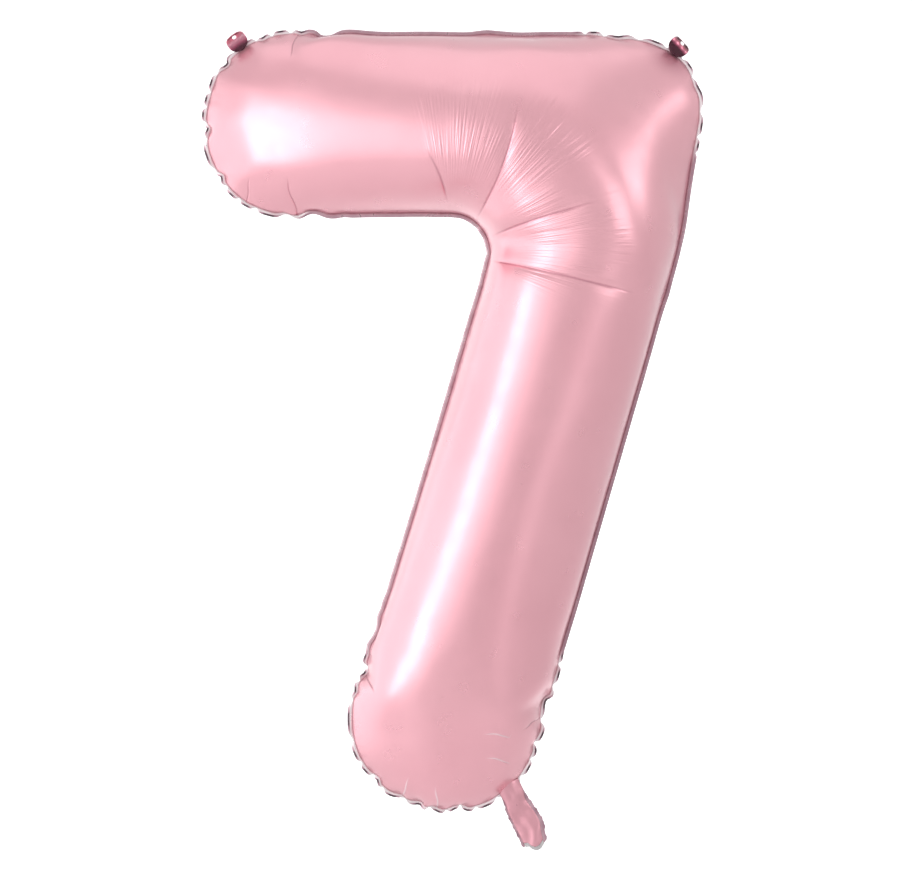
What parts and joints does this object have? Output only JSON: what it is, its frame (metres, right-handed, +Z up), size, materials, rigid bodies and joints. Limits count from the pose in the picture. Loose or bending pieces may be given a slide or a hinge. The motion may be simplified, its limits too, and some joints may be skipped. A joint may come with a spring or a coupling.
{
  "type": "foil number balloon",
  "caption": "Inflated foil balloon in the shape of a seven, with a welded edge, hanging tabs, a self-sealing film valve and a flat inflation tail.",
  "frame": {"origin": "midway between the two hanging holes, in the plane of the welded edge", "axes": "+Z up the number, front of the number faces -Y, +X to the reader's right"},
  "size_m": [0.5513, 0.222, 0.9103],
  "materials": {
    "pink_foil": "satin metallised film, pastel pink",
    "weld_edge": "welded double film, silvery grey-pink",
    "tab_foil": "glossy metallised film, deep pink",
    "valve_film": "thin milky film"
  },
  "bodies": {
    "envelope": {"front_panel": "pink_foil", "back_panel": "pink_foil", "seam_band": "weld_edge", "valve_neck_front": "valve_film", "valve_neck_back": "valve_film"},
    "tail": {"tail_front_film": "pink_foil", "tail_back_film": "pink_foil", "tail_seal_left": "weld_edge", "tail_seal_right": "weld_edge", "valve_mouth_front": "valve_film", "valve_mouth_back": "valve_film"},
    "valve_front": {"valve_inner_front": "valve_film"},
    "valve_back": {"valve_inner_back": "valve_film"},
    "tab_left": {"hang_tab_left": "tab_foil"},
    "tab_right": {"hang_tab_right": "tab_foil"}
  },
  "joints": [
    {"name": "tail_fold", "type": "hinge", "parent": "envelope", "child": "tail", "pos_m": [0.06069, 0, -0.83503], "axis": [0.9354, 0, 0.3535], "range_deg": [-90, 90], "stiffness_Nm_per_rad": 0.0001},
    {"name": "valve_front_open", "type": "hinge", "parent": "envelope", "child": "valve_front", "pos_m": [0.05516, -0.00015, -0.8204], "axis": [0.9354, 0, 0.3535], "range_deg": [0, 6], "stiffness_Nm_per_rad": 0.0001},
    {"name": "valve_back_open", "type": "hinge", "parent": "envelope", "child": "valve_back", "pos_m": [0.05516, 0.00015, -0.8204], "axis": [0.9354, 0, 0.3535], "range_deg": [-6, 0], "stiffness_Nm_per_rad": 0.0001},
    {"name": "tab_left_fold", "type": "hinge", "parent": "envelope", "child": "tab_left", "pos_m": [-0.24283, 0, -0.00392], "axis": [0.8101, 0, 0.5863], "range_deg": [-90, 90], "stiffness_Nm_per_rad": 0.00004},
    {"name": "tab_right_fold", "type": "hinge", "parent": "envelope", "child": "tab_right", "pos_m": [0.24144, 0, -0.00925], "axis": [0.6691, 0, -0.7431], "range_deg": [-90, 90], "stiffness_Nm_per_rad": 0.00004}
  ],
  "couplings": [
    {"joint": "valve_back_open", "follows": "valve_front_open", "ratio": -1}
  ]
}
